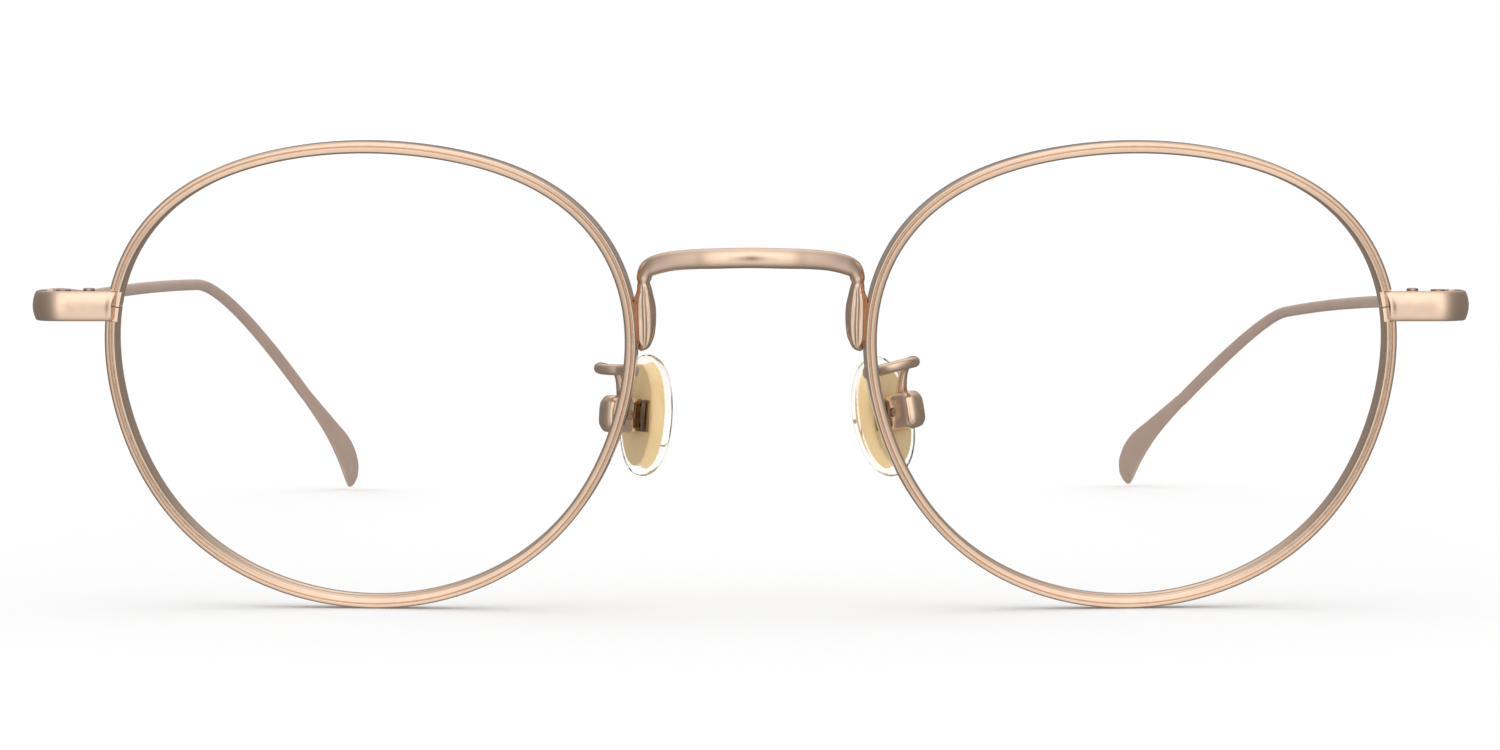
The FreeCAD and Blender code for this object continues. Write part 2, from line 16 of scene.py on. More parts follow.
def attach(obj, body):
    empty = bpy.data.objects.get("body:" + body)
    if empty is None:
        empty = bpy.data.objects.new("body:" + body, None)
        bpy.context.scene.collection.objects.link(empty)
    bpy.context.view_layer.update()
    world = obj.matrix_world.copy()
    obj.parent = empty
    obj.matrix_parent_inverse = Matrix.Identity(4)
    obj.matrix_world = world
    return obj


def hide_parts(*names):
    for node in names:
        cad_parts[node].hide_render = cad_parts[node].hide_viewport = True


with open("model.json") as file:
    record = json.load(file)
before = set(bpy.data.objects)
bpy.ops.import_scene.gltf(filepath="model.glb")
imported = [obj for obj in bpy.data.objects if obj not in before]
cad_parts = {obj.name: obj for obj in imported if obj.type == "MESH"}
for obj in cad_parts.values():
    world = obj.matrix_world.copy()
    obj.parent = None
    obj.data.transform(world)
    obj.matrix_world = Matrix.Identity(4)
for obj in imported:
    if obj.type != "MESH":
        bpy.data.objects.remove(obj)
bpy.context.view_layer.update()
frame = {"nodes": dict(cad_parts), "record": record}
record = frame["record"]

# ---------------------------------------------------------------- sizes, mm
MM = 0.001
RIM_CENTRE = Vector((35.43, 1.1, 22.14))
RIM_MEAN_RADIUS = 23.57
RIM_WAVES = ((2, 1.54, 0.07), (3, 0.0, 0.73), (4, -0.25, 0.04), (5, 0.0, 0.12), (6, -0.08, 0.0))
RIM_WRAP = math.radians(5.0)
RIM_TILT = math.radians(4.5)
RIM_THICKNESS = 1.12
RIM_DEPTH = 2.2
RIM_STEPS = 340
GROOVE_DEPTH = 0.45
GROOVE_HALF_WIDTH = 0.42
SPLIT_Z = 28.0
SPLIT_GAP = 0.12
RECESS_DEPTH = 0.34            # step in the rim's front for the endpiece
RECESS_ROOM_ABOVE = 0.06       # the step starts this far above the endpiece
RECESS_SHORT_BELOW = 0.02      # and stops this far above its lower edge

END_OUTER_X = 67.2
END_INNER_X = 59.55
END_FRONT_Y = 1.15
END_BACK_Y = 6.35
END_THICKNESS = 1.15
END_HALF_HEIGHT = 1.4
END_CENTRE_Z = 28.02
END_CORNER = 3.1
END_CROWN = 3.0                # radius of the front face, top to bottom
END_FACE_SHARE = 0.93          # part of the height that the crowned face takes
END_BITE = 0.45                # how far the upper inner end reaches over the rim
END_BITE_RINGS = 5.0           # number of rings over which that fades out

HINGE = Vector((64.65, 6.35, 28.0))
KNUCKLE_RADIUS = 0.92
KNUCKLE_ROOM = 0.08
TEMPLE_START_Y = 6.42
TEMPLE_START_Z = 28.25
TEMPLE_LINE_X = 64.9
LINE_Y = 6.0
TEMPLE_INWARD = 0.0436
TEMPLE_ARCH = 0.00023
FLARE_OUT = 1.12
FLARE_END_Y = 19.0
TEMPLE_FRONT_HALF = (1.2, 0.66)
WIRE_HALF = 0.6
WIRE_DROP_HALF = 0.75
PADDLE_HALF_THICKNESS = 0.46
PADDLE_LENGTH = 18.0           # where its thickness would run out
PADDLE_FLAT_FROM = 9.0         # distance along the paddle where it is fully flat
# Paddle tip, square to its axis: (distance along, lower edge, upper edge).
PADDLE = (
    (0.0, -0.68, 0.8), (3.0, -0.78, 1.03), (6.0, -0.96, 1.26), (9.0, -1.33, 1.5), (12.0, -1.98, 1.74),
    (14.0, -2.6, 1.66), (15.4, -3.1, 1.36), (16.4, -3.3, 0.95), (17.0, -2.98, 0.62),
    (17.5, -2.35, 0.12), (17.75, -1.7, -0.5),
)

# One half of the bridge, from the foot's tip up the neck to the middle of the bar:
# (distance from the middle plane, Y, Z, half width across, half depth).
BRIDGE = (
    (10.2, -1.15, 24.15, 0.25, 0.35), (9.9, -1.2, 24.6, 0.6, 0.7), (9.87, -1.22, 25.3, 0.93, 0.86),
    (9.83, -1.25, 26.4, 1.06, 0.98), (9.83, -1.3, 27.6, 1.09, 1.02), (9.85, -1.38, 28.6, 1.0, 0.98),
    (9.82, -1.45, 29.5, 0.75, 0.88), (9.88, -1.55, 30.3, 0.62, 0.74), (9.8, -1.7, 31.05, 0.7, 0.76),
    (9.5, -1.98, 31.6, 0.8, 0.77), (8.95, -2.25, 31.93, 0.88, 0.78), (8.2, -2.5, 32.17, 0.9, 0.79),
    (7.0, -2.85, 32.4, 0.9, 0.8), (5.1, -3.35, 32.56, 0.92, 0.8), (3.3, -3.75, 32.62, 0.94, 0.8),
    (0.0, -4.0, 32.69, 0.94, 0.8),
)
NECK_Z = 30.35
NECK_CREASE = (0.07, 0.0, 0.16)         # share of the size pressed in, height above the neck, width
SHOULDER_SWELL = (0.05, 0.4, 0.2)       # the same, swelling out
FOOT_TOP = 30.4
FOOT_LENGTH = 6.0
GROOVES_FADE_TOP = (30.6, 1.4)          # height where the foot's grooves end, and over how much
GROOVES_FADE_BOTTOM = (24.3, 0.9)

ARM_RADIUS = 0.52
ARM_END = (-0.2, 1.2)          # where the arm ends in the box, along the pad's Y and Z
ARM_SOLDER_FLARE = 0.3
ARM_LEG_THINNER = 0.1
ARM_FOOT_WIDER = 0.12
BOX_HALF = (1.25, 1.65, 1.75)
BOX_OFFSET = -0.75
BOX_ROUNDING = (1.12, 0.4)     # behind and ahead
BOX_EDGE = 0.05
SOCKET_HALF = (0.52, 1.25)
SOCKET_DEPTH = 1.0
TONGUE_HALF = (0.46, 0.95)
TONGUE_BACK = 0.72
BAND_HALF = (2.3, 1.5)
BAND_START = 1.16
BAND_FLUTES = 5
BAND_MARGIN = 0.15
FLUTE_DEPTH = 0.22
PLATE_START = 1.45
PLATE_THICKNESS = 0.3
PLATE_HALF = (2.7, 4.8)
SKIRT_DEPTH = 1.1              # turned-in edge of the plate, inside the clear pad
SKIRT_WALL = 0.3
PAD_SCREW_RADIUS = 0.36
SCREW_SINK = 0.34              # depth of the hole for its head in the box's cheek
CUT_FAR = 3.0                  # a cutter reaches this far, well past the piece
# Clear pad, from its flat side to its crown: (Y, half width, half height).
PAD_BODY = (
    (1.5, 3.05, 5.15), (1.56, 3.25, 5.38), (1.8, 3.44, 5.6), (2.4, 3.55, 5.74), (3.1, 3.4, 5.56),
    (3.7, 2.85, 4.9), (4.1, 2.0, 3.8), (4.28, 1.1, 2.2), (4.32, 0.3, 0.6),
)
ADJUST = {
    "left": {
        "temple_slope": 0.0322, "temple_drop": 0.528, "temple_turn": 0.401,
        "bend_start": 96.9, "bend_end": 129.0, "paddle_y": 131.0,
        "pad_screw": (14.2, 6.1, 17.9), "pad_splay": 45.0, "pad_tilt": 13.0,
        "arm_start": (11.15, 21.95), "arm_loop": (15.85, 22.8), "arm_leg": (14.2, 21.5),
    },
    "right": {
        "temple_slope": -0.002, "temple_drop": 0.632, "temple_turn": 0.302,
        "bend_start": 83.8, "bend_end": 125.8, "paddle_y": 125.8,
        "pad_screw": (12.0, 6.1, 17.65), "pad_splay": 33.0, "pad_tilt": 4.0,
        "arm_start": (11.15, 22.1), "arm_loop": (14.7, 22.2), "arm_leg": (12.1, 21.7),
    },
}

groove_mount = next(m for m in record["mounts"] if m["name"] == "left_lens_groove")
SHIFT = Vector(groove_mount["pos_m"]) / MM - RIM_CENTRE


def at(point):
    """Metres in the row frame, from millimetres in the drawing frame."""
    return (Vector(point) + SHIFT) * MM


# ---------------------------------------------------------------- small geometry
def ease(value):
    """Smooth step from 0 to 1."""
    value = min(max(value, 0.0), 1.0)
    return value * value * (3 - 2 * value)


def through(rows, steps):
    """Denser rows on a smooth curve through the given rows (Catmull-Rom)."""
    rows = [tuple(row) for row in rows]
    ends = [tuple(2 * a - b for a, b in zip(rows[0], rows[1]))]
    ends.append(tuple(2 * a - b for a, b in zip(rows[-1], rows[-2])))
    padded = [ends[0]] + rows + [ends[1]]
    result = []
    for first, start, stop, last in zip(padded, padded[1:], padded[2:], padded[3:]):
        for step in range(steps):
            t = step / steps
            weights = ((-t + 2 * t * t - t ** 3) / 2, (2 - 5 * t * t + 3 * t ** 3) / 2,
                       (t + 4 * t * t - 3 * t ** 3) / 2, (t ** 3 - t * t) / 2)
            row = []
            for values in zip(first, start, stop, last):
                row.append(sum(weight * value for weight, value in zip(weights, values)))
            result.append(tuple(row))
    result.append(rows[-1])
    return result


def rounded_route(points, steps):
    """Smooth route that starts and ends at the end points and rounds the others."""
    corners = [Vector(p) for p in points]
    middles = [corners[0]] + [(a + b) / 2 for a, b in zip(corners[1:-2], corners[2:-1])] + [corners[-1]]
    route = []
    for start, corner, stop in zip(middles, corners[1:-1], middles[1:]):
        for step in range(steps):
            t = step / steps
            route.append(start * (1 - t) ** 2 + corner * (2 * t * (1 - t)) + stop * t * t)
    route.append(corners[-1])
    return route


def oval(centre, across, along, half_across, half_along, count, power=2.0):
    """Ring of points, an ellipse for power 2 and squarer above that."""
    ring = []
    for step in range(count):
        turn = 2 * math.pi * step / count
        c = math.cos(turn)
        s = math.sin(turn)
        a = half_across * math.copysign(abs(c) ** (2 / power), c)
        b = half_along * math.copysign(abs(s) ** (2 / power), s)
        ring.append(centre + across * a + along * b)
    return ring


def rounded_outline(corners, steps=4):
    """Closed outline of points from (u, v, radius) corners, each rounded by an arc."""
    outline = []
    count = len(corners)
    for index, (u, v, radius) in enumerate(corners):
        here = Vector((u, v))
        back = (Vector(corners[index - 1][:2]) - here).normalized()
        ahead = (Vector(corners[(index + 1) % count][:2]) - here).normalized()
        half = back.angle(ahead) / 2
        reach = radius / math.tan(half)
        centre = here + (back + ahead).normalized() * (radius / math.sin(half))
        entry = here + back * reach - centre
        leave = here + ahead * reach - centre
        for step in range(steps + 1):
            t = step / steps
            spoke = entry.lerp(leave, t).normalized() * radius
            outline.append(centre + spoke)
    return outline


def skin(rings, loop=False):
    """Vertices and faces of a surface through rings of equally many points."""
    count = len(rings[0])
    verts = [point for ring in rings for point in ring]
    faces = []
    spans = len(rings) if loop else len(rings) - 1
    for row in range(spans):
        this = row * count
        following = (row + 1) % len(rings) * count
        for column in range(count):
            beside = (column + 1) % count
            faces.append((this + column, this + beside, following + beside, following + column))
    if not loop:
        faces.append(tuple(range(count)))
        faces.append(tuple(range(len(verts) - count, len(verts))))
    return verts, faces


def shrunk(ring, factor, move):
    """The ring drawn in towards its own middle and moved."""
    middle = sum(ring, Vector()) / len(ring)
    return [middle + (point - middle) * factor + move for point in ring]


def with_round_ends(rings, bulge):
    """Rings with both ends closed in by a small dome of that length."""
    start_middle = sum(rings[0], Vector()) / len(rings[0])
    start_way = (start_middle - sum(rings[1], Vector()) / len(rings[1])).normalized()
    stop_middle = sum(rings[-1], Vector()) / len(rings[-1])
    stop_way = (stop_middle - sum(rings[-2], Vector()) / len(rings[-2])).normalized()
    turns = [math.radians(a) for a in (25, 50, 70, 84)]
    head = [shrunk(rings[0], math.cos(a), start_way * (bulge * math.sin(a))) for a in turns]
    tail = [shrunk(rings[-1], math.cos(a), stop_way * (bulge * math.sin(a))) for a in turns]
    return head[::-1] + rings + tail


def rounded_block(half, radii, cuts=9):
    """Block about the origin whose corners are rounded, by one radius behind and one ahead along Y."""
    mesh = bmesh.new()
    bmesh.ops.create_cube(mesh, size=2.0)
    bmesh.ops.subdivide_edges(mesh, edges=mesh.edges[:], cuts=cuts, use_grid_fill=True)
    for vert in mesh.verts:
        spread = [math.sin(c * math.pi / 2) for c in vert.co]
        point = Vector((spread[0] * half[0], spread[1] * half[1], spread[2] * half[2]))
        blend = (spread[1] + 1) / 2
        radius = radii[0] * (1 - blend) + radii[1] * blend
        core = Vector([min(max(p, radius - h), h - radius) for p, h in zip(point, half)])
        away = point - core
        vert.co = core + away.normalized() * radius if away.length > 1e-9 else point
    verts = [vert.co.copy() for vert in mesh.verts]
    faces = [tuple(v.index for v in face.verts) for face in mesh.faces]
    mesh.free()
    return verts, faces


def moved(part, matrix):
    """A part's vertices through a matrix."""
    verts, faces = part
    return [matrix @ point for point in verts], faces


def mesh_object(name, parts, mirrored, shaded_part=None):
    """Object from parts in the drawing frame, in metres; the shaded part takes the second material, which
    paints shade.
    """
    verts = []
    faces = []
    picks = []
    for number, (part_verts, part_faces) in enumerate(parts):
        base = len(verts)
        picks += [1 if number == shaded_part else 0] * len(part_faces)
        verts += part_verts
        faces += [tuple(base + index for index in face) for face in part_faces]
    if mirrored:
        verts = [Vector((-p.x, p.y, p.z)) for p in verts]
    mesh = bpy.data.meshes.new(name)
    mesh.from_pydata([at(point) for point in verts], [], faces)
    mesh.polygons.foreach_set("material_index", picks)
    work = bmesh.new()
    work.from_mesh(mesh)
    bmesh.ops.remove_doubles(work, verts=work.verts[:], dist=1e-7)
    bmesh.ops.recalc_face_normals(work, faces=work.faces[:])
    work.to_mesh(mesh)
    work.free()
    mesh.validate()
    thing = bpy.data.objects.new(name, mesh)
    bpy.context.scene.collection.objects.link(thing)
    return thing


def shade(thing, degrees=38):
    """Smooth shading that keeps edges sharper than an angle."""
    thing.data.polygons.foreach_set("use_smooth", [True] * len(thing.data.polygons))
    thing.data.set_sharp_from_angle(angle=math.radians(degrees))


def carve(thing, cutters):
    """Cuts cutter objects out of a piece and deletes them."""
    for cutter in cutters:
        tool = thing.modifiers.new("cut", "BOOLEAN")
        tool.operation = "DIFFERENCE"
        tool.solver = "EXACT"
        tool.object = cutter
    depsgraph = bpy.context.evaluated_depsgraph_get()
    result = bpy.data.meshes.new_from_object(thing.evaluated_get(depsgraph))
    thing.modifiers.clear()
    thing.data = result
    for cutter in cutters:
        bpy.data.objects.remove(cutter)


def finish_piece(thing, node, body, material, degrees=38, second=None):
    """Shading, materials and place in the frame for a piece that replaces a CAD node."""
    shade(thing, degrees)
    thing.data.materials.append(material)
    # The second material paints shade and a dark reflection on the insert's band.
    if second:
        thing.data.materials.append(second)
    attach(thing, body)
    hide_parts(node)


# ---------------------------------------------------------------- materials
def nodes_of(name):
    """New node material: (material, node tree, its Principled shader, millimetre coordinates)."""
    material = bpy.data.materials.new(name)
    material.use_nodes = True
    tree = material.node_tree
    shader = tree.nodes["Principled BSDF"]
    place = tree.nodes.new("ShaderNodeTexCoord")
    scale = tree.nodes.new("ShaderNodeVectorMath")
    scale.operation = "SCALE"
    scale.inputs["Scale"].default_value = 1 / MM
    tree.links.new(place.outputs["Object"], scale.inputs[0])
    return material, tree, shader, scale.outputs[0]


def noise(tree, where, scale, detail=3.0, stretch=None):
    """Noise texture output, optionally stretched along the axes."""
    if stretch:
        mapping = tree.nodes.new("ShaderNodeMapping")
        mapping.inputs["Scale"].default_value = stretch
        tree.links.new(where, mapping.inputs["Vector"])
        where = mapping.outputs[0]
    texture = tree.nodes.new("ShaderNodeTexNoise")
    texture.inputs["Scale"].default_value = scale
    texture.inputs["Detail"].default_value = detail
    tree.links.new(where, texture.inputs["Vector"])
    return texture.outputs["Fac"]


def ranged(tree, value, low, high, from_low=0.3, from_high=0.7):
    """The value spread over a new range."""
    spread = tree.nodes.new("ShaderNodeMapRange")
    spread.inputs["From Min"].default_value = from_low
    spread.inputs["From Max"].default_value = from_high
    spread.inputs["To Min"].default_value = low
    spread.inputs["To Max"].default_value = high
    tree.links.new(value, spread.inputs["Value"])
    return spread.outputs[0]


def two_tone(tree, factor, first, second):
    """Mix of two tones by a factor, each a colour or an output."""
    mix = tree.nodes.new("ShaderNodeMix")
    mix.data_type = "RGBA"
    for name, tone in (("A", first), ("B", second)):
        if isinstance(tone, tuple):
            mix.inputs[name].default_value = (*tone, 1)
        else:
            tree.links.new(tone, mix.inputs[name])
    tree.links.new(factor, mix.inputs["Factor"])
    return mix.outputs["Result"]


def bump(tree, shader, height, strength, distance):
    """Fine relief on the surface."""
    relief = tree.nodes.new("ShaderNodeBump")
    relief.inputs["Strength"].default_value = strength
    relief.inputs["Distance"].default_value = distance
    tree.links.new(height, relief.inputs["Height"])
    tree.links.new(relief.outputs[0], shader.inputs["Normal"])


def plated_metal(name, light, deep, roughness, grain, metallic=1.0):
    """Satin plated metal: soft tone drift, fine blasted grain and paler rubbed edges."""
    material, tree, shader, where = nodes_of(name)
    drift = noise(tree, where, 0.22, 2.0)
    tone = two_tone(tree, ranged(tree, drift, 0.0, 1.0), light, deep)
    edge = tree.nodes.new("ShaderNodeNewGeometry")
    rubbed = ranged(tree, edge.outputs["Pointiness"], 0.0, 0.5, 0.53, 0.62)
    paler = 1.12
    pale = two_tone(tree, rubbed, tone, tuple(min(c * paler, 1.0) for c in light))
    tree.links.new(pale, shader.inputs["Base Color"])
    shader.inputs["Metallic"].default_value = metallic
    rough = ranged(tree, noise(tree, where, 1.6, 4.0), roughness - 0.02, roughness + 0.04)
    tree.links.new(rough, shader.inputs["Roughness"])
    bump(tree, shader, noise(tree, where, 5.0, 3.0), strength=grain, distance=0.000004)
    return material


def screw_metal():
    """Turned steel, plated a shade darker, with fine turning marks."""
    material, tree, shader, where = nodes_of("screw_metal")
    marks = noise(tree, where, 9.0, 3.0, stretch=(1.0, 1.0, 6.0))
    tone = two_tone(tree, ranged(tree, marks, 0.0, 1.0), (0.56, 0.42, 0.33), (0.45, 0.34, 0.28))
    tree.links.new(tone, shader.inputs["Base Color"])
    shader.inputs["Metallic"].default_value = 1.0
    tree.links.new(ranged(tree, marks, 0.22, 0.36), shader.inputs["Roughness"])
    bump(tree, shader, marks, strength=0.15, distance=0.00001)
    return material


def insert_metal():
    """Pale gold plate, polished, with faint rolling lines."""
    material, tree, shader, where = nodes_of("insert_metal")
    lines = noise(tree, where, 3.0, 4.0, stretch=(1.0, 1.0, 0.12))
    tone = two_tone(tree, ranged(tree, lines, 0.0, 1.0), (0.94, 0.72, 0.40), (0.89, 0.67, 0.36))
    tree.links.new(tone, shader.inputs["Base Color"])
    shader.inputs["Metallic"].default_value = 0.5
    tree.links.new(ranged(tree, lines, 0.34, 0.44), shader.inputs["Roughness"])
    bump(tree, shader, lines, strength=0.08, distance=0.00001)
    return material


def band_shade_metal():
    """Polished band across the insert, streaked along its flutes; its dark tone is painted shade and a
    painted dark reflection.
    """
    material, tree, shader, where = nodes_of("band_shade_metal")
    streaks = noise(tree, where, 2.5, 3.0, stretch=(1.0, 1.0, 0.2))
    # These dark browns are painted shade and a painted dark reflection, not the band's own colour; the
    # streaks vary the tone at random.
    tone = two_tone(tree, ranged(tree, streaks, 0.0, 1.0), (0.42, 0.32, 0.20), (0.16, 0.12, 0.08))
    tree.links.new(tone, shader.inputs["Base Color"])
    shader.inputs["Metallic"].default_value = 1.0
    tree.links.new(ranged(tree, streaks, 0.1, 0.2), shader.inputs["Roughness"])
    bump(tree, shader, streaks, strength=0.2, distance=0.00001)
    return material


def clear_polymer():
    """Clear pad polymer with a faint warm tint and a moulded skin."""
    material, tree, shader, where = nodes_of("clear_polymer")
    haze = noise(tree, where, 0.7, 3.0)
    tint = two_tone(tree, ranged(tree, haze, 0.0, 1.0), (1.0, 0.985, 0.95), (1.0, 0.965, 0.90))
    tree.links.new(tint, shader.inputs["Base Color"])
    shader.inputs["Transmission Weight"].default_value = 1.0
    shader.inputs["IOR"].default_value = 1.17
    tree.links.new(ranged(tree, haze, 0.015, 0.05), shader.inputs["Roughness"])
    bump(tree, shader, noise(tree, where, 2.2, 2.0), strength=0.05, distance=0.00002)
    return material


FRAME_METAL = plated_metal("frame_metal", (0.82, 0.61, 0.46), (0.78, 0.57, 0.425), roughness=0.19, grain=0.25)
TEMPLE_METAL = plated_metal(
    "temple_metal", (0.82, 0.61, 0.50), (0.77, 0.57, 0.465), roughness=0.40, grain=0.5, metallic=0.7)
BLOCK_METAL = plated_metal("block_metal", (0.74, 0.53, 0.39), (0.68, 0.48, 0.35), roughness=0.30, grain=0.4)
SCREW_METAL = screw_metal()
INSERT_METAL = insert_metal()
# Dark material for the insert's band: painted shade and a painted dark reflection.
BAND_SHADE_METAL = band_shade_metal()
CLEAR_POLYMER = clear_polymer()


# ---------------------------------------------------------------- rims
RIM_MATRIX = (
    Matrix.Translation((RIM_CENTRE.x, 0.0, RIM_CENTRE.z))
    @ Matrix.Rotation(RIM_TILT, 4, "X")
    @ Matrix.Rotation(RIM_WRAP, 4, "Z")
)


def rim_point(angle, inset, depth):
    """Point of the placed rim, moved inward by inset and back by depth; the angle starts at the nose."""
    radius = RIM_MEAN_RADIUS
    slope = 0.0
    for count, cosine, sine in RIM_WAVES:
        radius += cosine * math.cos(count * angle) + sine * math.sin(count * angle)
        slope += count * (sine * math.cos(count * angle) - cosine * math.sin(count * angle))
    outward = Vector((-math.cos(angle), 0, math.sin(angle)))
    along = Vector((math.sin(angle), 0, math.cos(angle)))
    normal = (outward * radius - along * slope).normalized()
    return RIM_MATRIX @ (outward * radius - normal * inset + Vector((0, depth, 0)))


def rim_angle(height):
    """Angle on the temporal side where the rim's front is at a height."""
    low = math.radians(90)
    high = math.radians(200)
    within = 0.5  # the followed point lies this far inside the wire, both ways
    for _ in range(40):
        middle = (low + high) / 2
        if rim_point(middle, within, within).z > height:
            low = middle
        else:
            high = middle
    return low


def rim_section():
    """Outline of the rim's section: a crowned front with a fine engraved line, and the lens groove."""
    middle = RIM_DEPTH / 2
    inner = RIM_THICKNESS
    return rounded_outline((
        (0.0, 0.13, 0.14), (0.14, 0.0, 0.2), (0.39, -0.03, 0.05), (0.46, 0.1, 0.02), (0.53, -0.03, 0.05),
        (0.96, 0.05, 0.12), (inner, 0.36, 0.12), (inner, middle - GROOVE_HALF_WIDTH, 0.05),
        (inner - GROOVE_DEPTH, middle, 0.04), (inner, middle + GROOVE_HALF_WIDTH, 0.05),
        (inner, RIM_DEPTH, 0.22), (0.0, RIM_DEPTH, 0.2),
    ))


def rim_rings():
    """Rings round the rim from one face of the split to the other, stepped back under the endpiece."""
    section = rim_section()
    start = rim_angle(SPLIT_Z + SPLIT_GAP / 2)
    stop = rim_angle(SPLIT_Z - SPLIT_GAP / 2) - 2 * math.pi
    upper = rim_angle(END_CENTRE_Z + END_HALF_HEIGHT + RECESS_ROOM_ABOVE)
    lower = rim_angle(END_CENTRE_Z - END_HALF_HEIGHT + RECESS_SHORT_BELOW) - 2 * math.pi
    hair = 0.0006
    turns = [start + (stop - start) * step / RIM_STEPS for step in range(RIM_STEPS + 1)]
    turns = sorted(set(turns + [upper, upper - hair, lower, lower + hair]), reverse=True)
    rings = []
    for turn in turns:
        recessed = turn >= upper or turn <= lower
        least = RECESS_DEPTH if recessed else -1.0
        rings.append([rim_point(turn, inset, max(depth, least)) for inset, depth in section])
    return rings


# ---------------------------------------------------------------- endpieces
def end_section():
    """(inward from the outer face, height) round the endpiece, with a crowned outer face."""
    top = END_HALF_HEIGHT
    steps = 10
    face = []
    for step in range(steps + 1):
        height = -top * END_FACE_SHARE + 2 * top * END_FACE_SHARE * step / steps
        face.append((END_CROWN - math.sqrt(END_CROWN ** 2 - height ** 2), height))
    corner_in = face[-1][0]
    upper = [(corner_in + 0.1, top * 0.985), (corner_in + 0.22, top)]
    back = [(END_THICKNESS - 0.16, top), (END_THICKNESS - 0.05, top - 0.04), (END_THICKNESS, top - 0.16)]
    return face + upper + back + [(i, -h) for i, h in (back[::-1] + upper[::-1])]


def end_rings():
    """Rings along the endpiece, from the rim round the corner to the hinge."""
    section = end_section()
    corner = Vector((END_OUTER_X - END_CORNER, END_FRONT_Y + END_CORNER, 0))
    front_steps = 8
    corner_steps = 12
    side_steps = 5
    stations = []
    for step in range(front_steps + 1):
        x = END_INNER_X + (corner.x - END_INNER_X) * step / front_steps
        stations.append((Vector((x, END_FRONT_Y, 0)), -90.0))
    for step in range(1, corner_steps + 1):
        angle = -90.0 + 90.0 * step / corner_steps
        way = Vector((math.cos(math.radians(angle)), math.sin(math.radians(angle)), 0))
        stations.append((corner + way * END_CORNER, angle))
    for step in range(1, side_steps + 1):
        y = corner.y + (END_BACK_Y - corner.y) * step / side_steps
        stations.append((Vector((END_OUTER_X, y, 0)), 0.0))
    rings = []
    for index, (point, angle) in enumerate(stations):
        out = Vector((math.cos(math.radians(angle)), math.sin(math.radians(angle)), 0))
        ring = []
        for inward, height in section:
            place = point - out * inward + Vector((0, 0, END_CENTRE_Z + height))
            reach = max(0.0, 1 - index / END_BITE_RINGS)
            bite = END_BITE * max(height / END_HALF_HEIGHT + 0.1, 0.0) ** 1.7
            place.x -= bite * reach
            ring.append(place)
        rings.append(ring)
    edge = 0.05
    narrower = 0.955
    first = shrunk(rings[0], narrower, Vector((-edge, 0, 0)))
    last = shrunk(rings[-1], narrower, Vector((0, edge, 0)))
    return [first] + rings + [last]


# ---------------------------------------------------------------- temples
def bend_amount(y, adjust):
    """How far behind the bend a point is: nothing, a parabola, then a straight line."""
    start = adjust["bend_start"]
    end = adjust["bend_end"]
    if y <= start:
        return 0.0
    if y >= end:
        return y - (start + end) / 2
    return (y - start) ** 2 / (2 * (end - start))


def temple_line(y, adjust):
    """Centre of the temple at a distance back from the front."""
    back = y - LINE_Y
    flare = FLARE_OUT * (1 - ease((y - TEMPLE_START_Y) / (FLARE_END_Y - TEMPLE_START_Y)))
    x = TEMPLE_LINE_X + flare - TEMPLE_INWARD * back - adjust["temple_turn"] * bend_amount(y, adjust)
    z = TEMPLE_START_Z - adjust["temple_slope"] * back - TEMPLE_ARCH * back ** 2
    z -= adjust["temple_drop"] * bend_amount(y, adjust)
    return Vector((x, y, z))


def temple_axes(y, adjust):
    """Direction, upward and sideways axes of the temple's section."""
    along = (temple_line(y + 0.05, adjust) - temple_line(y - 0.05, adjust)).normalized()
    side = along.cross(Vector((0, 0, 1))).normalized()
    return along, side.cross(along), side


def temple_rings(adjust):
    """Rings along a temple, from its flat front end to the paddle's tip."""
    count = 28
    front_step = 0.6
    rear_step = 1.2
    front_squareness = 1.6
    paddle_squareness = 0.5
    rings = []
    y = TEMPLE_START_Y
    while y < adjust["paddle_y"] - 0.2:
        front = 1 - ease((y - TEMPLE_START_Y - 1.5) / (FLARE_END_Y - TEMPLE_START_Y))
        rear = ease((y - adjust["bend_start"]) / (adjust["paddle_y"] - adjust["bend_start"]))
        plain = WIRE_HALF + (WIRE_DROP_HALF - WIRE_HALF) * rear
        tall = plain + (TEMPLE_FRONT_HALF[0] - WIRE_HALF) * front
        thick = WIRE_HALF + (TEMPLE_FRONT_HALF[1] - WIRE_HALF) * front
        _, up, side = temple_axes(y, adjust)
        lean = ease((y - TEMPLE_START_Y) / 2.0)
        up = Vector((0, 0, 1)).lerp(up, lean).normalized()
        side = Vector((1, 0, 0)).lerp(side, lean).normalized()
        squareness = 2.0 + front_squareness * front
        rings.append(oval(temple_line(y, adjust), up, side, tall, thick, count, squareness))
        y += front_step if y < FLARE_END_Y else rear_step
    root = temple_line(adjust["paddle_y"], adjust)
    along, up, side = temple_axes(adjust["paddle_y"], adjust)
    for distance, lower, upper in through(PADDLE, 5):
        centre = root + along * distance + up * ((lower + upper) / 2)
        flat = ease(distance / PADDLE_FLAT_FROM)
        end = math.sqrt(max(1 - (distance / PADDLE_LENGTH) ** 8, 0.0))
        thick = (WIRE_HALF + (PADDLE_HALF_THICKNESS - WIRE_HALF) * flat) * end
        squareness = 2.0 + paddle_squareness * flat
        rings.append(oval(centre, up, side, (upper - lower) / 2, thick, count, squareness))
    closing = ((0.8, 0.1), (0.45, 0.19), (0.12, 0.23))
    tip = [shrunk(rings[-1], factor, along * move) for factor, move in closing]
    lip = [shrunk(rings[0], 0.93, Vector((0, -0.05, 0)))]
    relieved = []
    for ring in lip + rings + tip:
        relieved.append([clear_of_knuckle(point) for point in ring])
    return relieved


